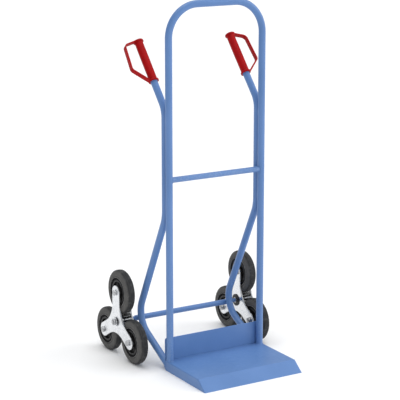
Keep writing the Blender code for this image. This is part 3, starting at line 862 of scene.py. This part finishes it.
def strap_outline():
    """The guard's cross-section, a flat bar with round edges."""
    width = GUARD_WIDTH / 2
    thick = GUARD_THICK / 2
    edge = 0.0011
    quarter_turn = math.pi / 2
    points = []
    for sx, sy, start in ((1, 1, 0), (-1, 1, 1), (-1, -1, 2), (1, -1, 3)):
        corner = (sx * (thick - edge), sy * (width - edge))
        points += arc(corner, edge, quarter_turn * start, quarter_turn * (start + 1), steps=4)
    return points


def make_grip(side, sign, plastic):
    turn, foot = grip_frame(sign)
    bm = bmesh.new()
    rings = [[Vector((u, v, height)) for u, v in circle(radius)]
             for height, radius in grip_profile()]
    skin(bm, rings)
    bm.transform(turn)
    made = piece(f"{side}_grip_moulding", placed(bm, foot), plastic, "frame",
                 [f"{side}_grip"])
    places = [(GUARD_ROOT, COLLAR_THICK / 2 + 0.0002), GUARD_LOW, GUARD_HIGH,
              (GUARD_ROOT, GRIP_LENGTH - COLLAR_THICK / 2 - 0.0012)]
    corners = [Vector((out, 0, along)) for out, along in places]
    strap = bmesh.new()
    path = bend_path(corners, GUARD_BENDS, step=math.radians(6))
    skin(strap, sweep_rings(path, Vector((0, 1, 0)), strap_outline()))
    strap.transform(turn)
    combine(made, placed(strap, foot), "UNION")


# -------- star

def star_outline(inset):
    """The three-armed outline in (Y, Z), one arm straight up."""
    half_step = math.pi / ARMS
    reach = (ARM_HALF_WIDTH + ARM_FILLET) / math.sin(half_step)
    spread = math.pi / 2 - half_step
    points = []
    for number in range(ARMS):
        arm = math.pi / 2 + math.tau * number / ARMS
        tip = (ARM_LENGTH * math.cos(arm), ARM_LENGTH * math.sin(arm))
        points += arc(tip, ARM_TIP_RADIUS - inset, arm - math.pi / 2, arm + math.pi / 2, steps=24)
        middle = arm + half_step
        centre = (reach * math.cos(middle), reach * math.sin(middle))
        back = middle + math.pi
        points += arc(centre, ARM_FILLET + inset, back + spread, back - spread, steps=16)
    return points


def quarter(steps=5):
    """(along, across) shares of a quarter round."""
    return [(math.sin(math.pi / 2 * i / steps), 1 - math.cos(math.pi / 2 * i / steps))
            for i in range(steps + 1)]


def pan_levels():
    """(x, inset) of the pressed plate, from its pocket floor round the rim to its face."""
    floor = STAR_FACE - STAR_SHEET
    rim = STAR_FACE - STAR_EDGE
    inner = STAR_ROLL - 0.0010
    margin = 0.0015
    levels = [(floor, STAR_SHEET + inner + margin)]
    levels += [(floor - inner * along, STAR_SHEET + inner * (1 - across))
               for along, across in reversed(quarter(steps=3))]
    levels += [(rim + 0.0003, STAR_SHEET), (rim, STAR_SHEET - 0.0004), (rim, 0.0004),
               (rim + 0.0003, 0.0)]
    levels += [(STAR_FACE - STAR_ROLL * (1 - along), STAR_ROLL * across)
               for along, across in quarter()]
    return levels + [(STAR_FACE, STAR_ROLL + margin)]


def make_star_plate(name, sign, place, zinc, body):
    rings = [[Vector((sign * x, y, z)) for y, z in star_outline(inset)]
             for x, inset in pan_levels()]
    bm = bmesh.new()
    skin(bm, rings)
    made = piece(f"{name}_pressing", placed(bm, place), zinc, body, [name])
    holes = bmesh.new()
    low = sign * (STAR_FACE - STAR_SHEET - CUT_OVERRUN)
    high = sign * (STAR_FACE + CUT_OVERRUN)
    centres = [((0, 0), BUSH_RADIUS)] + [(spot, BOLT_RADIUS) for spot in wheel_places()]
    for (y, z), radius in centres:
        rings = [[Vector((x, y + u, z + v)) for u, v in circle(radius + GAP)]
                 for x in (low, high)]
        skin(holes, rings)
    combine(made, placed(holes, place), "DIFFERENCE")
    weigh_normals(made)


def wheel_places():
    """(Y, Z) of the three wheels from the axle, the first straight above it."""
    return [(ARM_LENGTH * math.cos(angle), ARM_LENGTH * math.sin(angle))
            for angle in (math.pi / 2 + math.tau * i / ARMS for i in range(ARMS))]


def hex_outline(apothem, most):
    """A hexagon in (Y, Z), trimmed to a circle of radius most."""
    points = []
    for i in range(FINE_ROUND):
        angle = math.tau * i / FINE_ROUND
        off = (angle + math.pi / 6) % (math.pi / 3) - math.pi / 6
        radius = min(apothem / math.cos(off), most)
        points.append((radius * math.cos(angle), radius * math.sin(angle)))
    return points


def hex_rings(levels, apothem):
    """Rings of a hexagon at (x, the circle it is trimmed to)."""
    return [[Vector((x, y, z)) for y, z in hex_outline(apothem, most)] for x, most in levels]


def thread_levels(low, high, radius):
    """(x, radius) down a threaded end, ridges a pitch apart."""
    count = max(1, round(abs(high - low) / THREAD_PITCH))
    levels = []
    for i in range(count):
        start = low + (high - low) * i / count
        step = (high - low) / count
        levels += [(start + step * 0.15, radius), (start + step * 0.35, radius),
                   (start + step * 0.75, radius - THREAD_DEPTH),
                   (start + step * 0.95, radius - THREAD_DEPTH)]
    return levels


def bolt_mesh(sign):
    """Head on the outer side, threaded tail past the inner plate's nut."""
    under = STAR_FACE + GAP
    top = under + BOLT_HEAD
    nut_end = -(under + NUT_THICK)
    full = HEX_APOTHEM * HEX_WHOLE
    rim = HEX_APOTHEM * 0.96
    thread = nut_end + 0.002
    levels = [(top - 0.0003, rim * 0.90), (top, rim * 0.94), (top - 0.0002, rim),
              (top - 0.0012, HEX_APOTHEM * HEX_CHAMFER), (top - 0.0022, full),
              (under + 0.0006, full), (under + 0.0005, rim), (under, rim)]
    rings = hex_rings([(sign * x, most) for x, most in levels], HEX_APOTHEM)
    shank = [(under, BOLT_RADIUS), (thread, BOLT_RADIUS)]
    shank += thread_levels(thread, nut_end - BOLT_TAIL + 0.0005, BOLT_RADIUS)
    shank += [(nut_end - BOLT_TAIL, BOLT_RADIUS - THREAD_END)]
    rings += turned_rings([(sign * x, radius) for x, radius in shank], FINE_ROUND)
    bm = bmesh.new()
    skin(bm, rings)
    return bm


def nut_mesh(low, high, apothem, bore):
    """A chamfered hexagon nut between two planes across X."""
    step = math.copysign(1.0, high - low)
    face, middle, flank = step * 0.0002, step * 0.0010, step * 0.0018
    crown = apothem * 0.93
    chamfer = apothem * HEX_CHAMFER
    full = apothem * HEX_WHOLE
    mouth = bore + 0.0007
    levels = [(low + face, crown), (low + middle, chamfer), (low + flank, full),
              (high - flank, full), (high - middle, chamfer), (high - face, crown)]
    inner = turned_rings([(high - face, mouth), (high - middle, bore),
                          (low + middle, bore), (low + face, mouth)], FINE_ROUND)
    bm = bmesh.new()
    skin(bm, hex_rings(levels, apothem) + inner, closed=True)
    return bm


def bush_profile(sign, flange_radius):
    """Closed profile of a bush with its flange on the star's face."""
    face = STAR_FACE + GAP
    outer = face + BUSH_FLANGE
    inner = face - BUSH_LENGTH
    corners = [(inner, BUSH_BORE), (inner, BUSH_RADIUS), (face, BUSH_RADIUS),
               (face, flange_radius), (outer, flange_radius), (outer, BUSH_BORE)]
    return [(sign * x, radius) for x, radius in rounded_loop(corners, radius=0.0006)]


def make_star(side, sign, looks):
    body = f"{side}_star"
    place = AXLE_CENTRE + Vector((sign * STAR_X, 0, 0))
    for name, way, flange in (("outer", sign, BUSH_OUTER_FLANGE),
                              ("inner", -sign, BUSH_INNER_FLANGE)):
        make_star_plate(f"{side}_{name}_plate", way, place, looks["zinc"], body)
        piece(f"{side}_{name}_bush_flanged", turned_mesh(bush_profile(way, flange), place),
              looks["black"], body, [f"{side}_{name}_bush"])
    reach = STAR_FACE - STAR_SHEET - GAP
    hub = tube_profile(-reach, reach, BUSH_RADIUS + GAP, HUB_TUBE_RADIUS)
    piece(f"{side}_hub_spacer", turned_mesh(hub, place), looks["tube_zinc"], body,
          [f"{side}_hub_tube"])
    for number, (y, z) in enumerate(wheel_places(), 1):
        make_fastening(side, sign, number, place + Vector((0, y, z)), looks)


def make_fastening(side, sign, number, place, looks):
    body = f"{side}_star"
    under = STAR_FACE + GAP
    piece(f"{side}_hex_bolt_{number}", placed(bolt_mesh(sign), place), looks["steel"], body,
          [f"{side}_bolt_{number}"])
    nut = nut_mesh(-sign * under, -sign * (under + NUT_THICK), HEX_APOTHEM, BOLT_RADIUS + GAP)
    piece(f"{side}_hex_nut_{number}", placed(nut, place), looks["steel"], body,
          [f"{side}_nut_{number}"])
    reach = STAR_FACE - STAR_SHEET - GAP
    sleeve = tube_profile(-reach, reach, BOLT_RADIUS + GAP, SLEEVE_RADIUS)
    piece(f"{side}_wheel_sleeve_{number}", turned_mesh(sleeve, place), looks["steel"], body,
          [f"{side}_sleeve_{number}"])


# -------- wheels

def tyre_profile():
    """Closed (x, radius) outline, half of it listed from the rim out to the middle."""
    half = TYRE_HALF_WIDTH
    groove = 0.0007
    seat = [(half - 0.0030, RIM_RADIUS + GAP), (half - 0.0014, 0.0452), (half - 0.0010, 0.0480)]
    ridge = [(half - 0.0016, 0.0513), (half - 0.0001, 0.0524), (half, 0.0535),
             (half - 0.0014, 0.0543), (half - 0.0014, 0.0556)]
    wall = [(half - 0.0002, 0.0600), (half, 0.0640), (half - 0.0004, 0.0680)]
    shoulder = [(half - 0.0016, 0.0718), (half - 0.0036, 0.0750), (half - 0.0062, 0.0776),
                (half - 0.0082, 0.0789)]
    tread = [(0.0078, 0.0792), (0.0074, 0.0792 - groove), (0.0062, 0.0793 - groove),
             (0.0058, 0.0796), (0.0030, 0.0799), (0.0006, WHEEL_RADIUS - 0.0001),
             (0.0003, WHEEL_RADIUS)]
    outer = seat + ridge + wall + shoulder + tread
    return outer + [(-x, radius) for x, radius in reversed(outer)]


def tyre_mesh(place):
    """Materials 1 and 2 are the bands beside the ridge, painted dark as shade, and the ridge
    itself.
    """
    bm = bmesh.new()
    skin(bm, turned_rings(tyre_profile(), TYRE_ROUND), closed=True)
    for face in bm.faces:
        middle = face.calc_center_median()
        out = math.hypot(middle.y, middle.z)
        # the band next to the rim and the groove get index 1, painted shade
        if BEAD_BAND < out < RIDGE_BAND:
            face.material_index = 2
        elif out < GROOVE_BAND:
            face.material_index = 1
    return placed(bm, place)


def rim_half_profile():
    """(x, radius, how much a rib lifts it) from the bore to the tyre's seat."""
    hub, web, side = WHEEL_HUB_HALF, WEB_HALF_WIDTH, RIM_HALF_WIDTH
    boss = WHEEL_HUB_RADIUS
    inside = RIM_RADIUS - RIM_WALL
    return [(hub - 0.0005, SLEEVE_RADIUS + 0.0006, 0), (hub, SLEEVE_RADIUS + 0.0012, 0),
            (hub, boss - 0.0010, 0), (hub - 0.0008, boss, 0), (web + 0.0060, boss + 0.0004, 0),
            (web + 0.0010, boss + 0.0010, 1), (web, boss + 0.0025, 1), (web, inside - 0.0025, 1),
            (web + 0.0010, inside - 0.0010, 1), (web + 0.0060, inside - 0.0004, 0),
            (side - 0.0008, inside, 0), (side, inside + 0.0010, 0),
            (side, RIM_RADIUS - 0.0006, 0), (side - 0.0006, RIM_RADIUS, 0)]


def rib_share(angle):
    """1 on a rib, 0 between ribs, with soft flanks."""
    step = math.tau / RIBS
    off = abs((angle + step / 2) % step - step / 2)
    share = min(1.0, max(0.0, (RIB_FOOT - off) / RIB_FLANK))
    return share * share * (3 - 2 * share)


def rim_mesh(place):
    """Both halves of the rim's profile, turned, with ribs raised on its web."""
    half = rim_half_profile()
    profile = half + [(-x, radius, lift) for x, radius, lift in reversed(half)]
    rings = []
    for x, radius, lift in profile:
        ring = []
        for i in range(RIM_ROUND):
            angle = math.tau * i / RIM_ROUND
            out = x + math.copysign(RIB_HEIGHT * lift * rib_share(angle), x)
            ring.append(Vector((out, radius * math.cos(angle), radius * math.sin(angle))))
        rings.append(ring)
    bm = bmesh.new()
    skin(bm, rings, closed=True)
    return placed(bm, place)


def make_wheels(side, sign, looks):
    for number, (y, z) in enumerate(wheel_places(), 1):
        place = Vector((sign * STAR_X, AXLE_Y + y, AXLE_Z + z))
        body = f"{side}_wheel_{number}"
        piece(f"{side}_solid_tyre_{number}", tyre_mesh(place),
              [looks["rubber"], looks["bead"], looks["ridge"]], body,
              [f"{side}_tyre_{number}"])
        piece(f"{side}_moulded_rim_{number}", rim_mesh(place), looks["black"], body,
              [f"{side}_rim_{number}"])


# -------- axle

def make_axle(looks):
    """A steel rod with threaded ends, painted between the two stars."""
    end = axle_high.x
    thread = end - AXLE_THREAD
    painted = STAR_X - STAR_FACE - BUSH_FLANGE - CLIP_THICK - 0.002
    half = [(painted, SHAFT_RADIUS), (thread, SHAFT_RADIUS)]
    half += thread_levels(thread, end - THREAD_DEPTH, SHAFT_RADIUS)
    half += [(end, SHAFT_RADIUS - THREAD_END)]
    profile = [(-x, radius) for x, radius in reversed(half)] + half
    bm = bmesh.new()
    skin(bm, turned_rings(profile))
    for face in bm.faces:
        face.material_index = int(abs(face.calc_center_median().x) < painted)
    piece("axle_rod", placed(bm, AXLE_CENTRE), [looks["steel"], looks["paint"]], "frame",
          ["axle_shaft"])


def make_axle_stops(side, sign, looks):
    """The clip, washer and nut that keep a star on the axle."""
    bore = SHAFT_RADIUS + GAP
    clip_high = STAR_X - STAR_FACE - BUSH_FLANGE - 3 * GAP
    clip = tube_profile(clip_high - CLIP_THICK, clip_high, bore, BAR, edge=0.0003)
    washer = STAR_X + STAR_FACE + BUSH_FLANGE + 2 * GAP
    disc = tube_profile(washer, washer + WASHER_THICK, bore, WASHER_RADIUS, edge=0.0006)
    inner_face = washer + WASHER_THICK + GAP
    nut = nut_mesh(sign * inner_face, sign * (inner_face + AXLE_NUT_THICK), AXLE_NUT_APOTHEM, bore)
    piece(f"{side}_axle_clip", turned_mesh([(sign * x, r) for x, r in clip], AXLE_CENTRE),
          looks["steel"], "frame", [f"{side}_inner_clip"])
    piece(f"{side}_axle_washer", turned_mesh([(sign * x, r) for x, r in disc], AXLE_CENTRE),
          looks["zinc"], "frame", [f"{side}_outer_washer"])
    piece(f"{side}_lock_nut", placed(nut, AXLE_CENTRE), looks["steel"], "frame",
          [f"{side}_axle_nut"])


# -------- camera, light and floor

VIEW_AZIMUTH = math.radians(31.06)  # from straight in front round towards -X
VIEW_ELEVATION = math.radians(13.39)
VIEW_DISTANCE = 5.324
VIEW_TARGET = Vector((-0.021, 0.0, 0.585))
VIEW_LENS = 135.3


def make_camera():
    data = bpy.data.cameras.new("camera")
    data.lens = VIEW_LENS
    data.sensor_width = 36.0
    data.clip_end = 60.0
    made = add_object("camera", data)
    way = Vector((math.cos(VIEW_ELEVATION) * math.sin(VIEW_AZIMUTH),
                  math.cos(VIEW_ELEVATION) * math.cos(VIEW_AZIMUTH),
                  -math.sin(VIEW_ELEVATION)))
    made.location = VIEW_TARGET - way * VIEW_DISTANCE
    made.rotation_euler = way.to_track_quat("-Z", "Y").to_euler()
    bpy.context.scene.camera = made


def add_sun(name, way, strength, spread):
    """A sun that shines from the direction way, softened over spread degrees."""
    data = bpy.data.lights.new(name, "SUN")
    data.energy = strength
    data.angle = math.radians(spread)
    made = add_object(name, data)
    made.rotation_euler = Vector(way).to_track_quat("Z", "Y").to_euler()


def make_studio():
    """Soft light from all round and three wide suns; the camera sees plain white."""
    bpy.context.scene.view_settings.view_transform = "Standard"
    world = bpy.data.worlds.new("studio")
    bpy.context.scene.world = world
    world.use_nodes = True
    nodes, links = world.node_tree.nodes, world.node_tree.links
    lit = nodes["Background"]
    lit.inputs["Color"].default_value = (0.97, 0.985, 1.0, 1.0)
    lit.inputs["Strength"].default_value = 0.50
    seen = nodes.new("ShaderNodeBackground")
    seen.inputs["Color"].default_value = (1.0, 1.0, 1.0, 1.0)
    seen.inputs["Strength"].default_value = 1.0
    path = nodes.new("ShaderNodeLightPath")
    mix = nodes.new("ShaderNodeMixShader")
    links.new(path.outputs["Is Camera Ray"], mix.inputs[0])
    links.new(lit.outputs[0], mix.inputs[1])
    links.new(seen.outputs[0], mix.inputs[2])
    links.new(mix.outputs[0], nodes["World Output"].inputs["Surface"])
    add_sun("key", (0.88, -0.42, 0.36), strength=1.25, spread=50)
    add_sun("fill", (-0.20, -1.0, 0.05), strength=0.85, spread=70)
    add_sun("top", (0.0, 0.15, 1.0), strength=1.70, spread=60)


def make_floor():
    bm = bmesh.new()
    bmesh.ops.create_grid(bm, x_segments=2, y_segments=2, size=14.0)
    mesh = to_mesh("floor", bm)
    mesh.materials.append(floor_look())
    add_object("floor", mesh)


# -------- the whole scene

def build():
    make_camera()
    make_studio()
    make_floor()
    looks = make_looks()
    make_frame_tube(looks["paint"])
    make_crossbars(looks["paint"])
    make_toe_plate(looks["paint"])
    make_back_plate(looks["paint"])
    make_welds(looks["paint"])
    make_axle(looks)
    for side, sign in SIDES.items():
        make_rail_tube(side, sign, looks["paint"])
        make_grip(side, sign, looks["red"])
        make_axle_stops(side, sign, looks)
        make_star(side, sign, looks)
        make_wheels(side, sign, looks)


build()
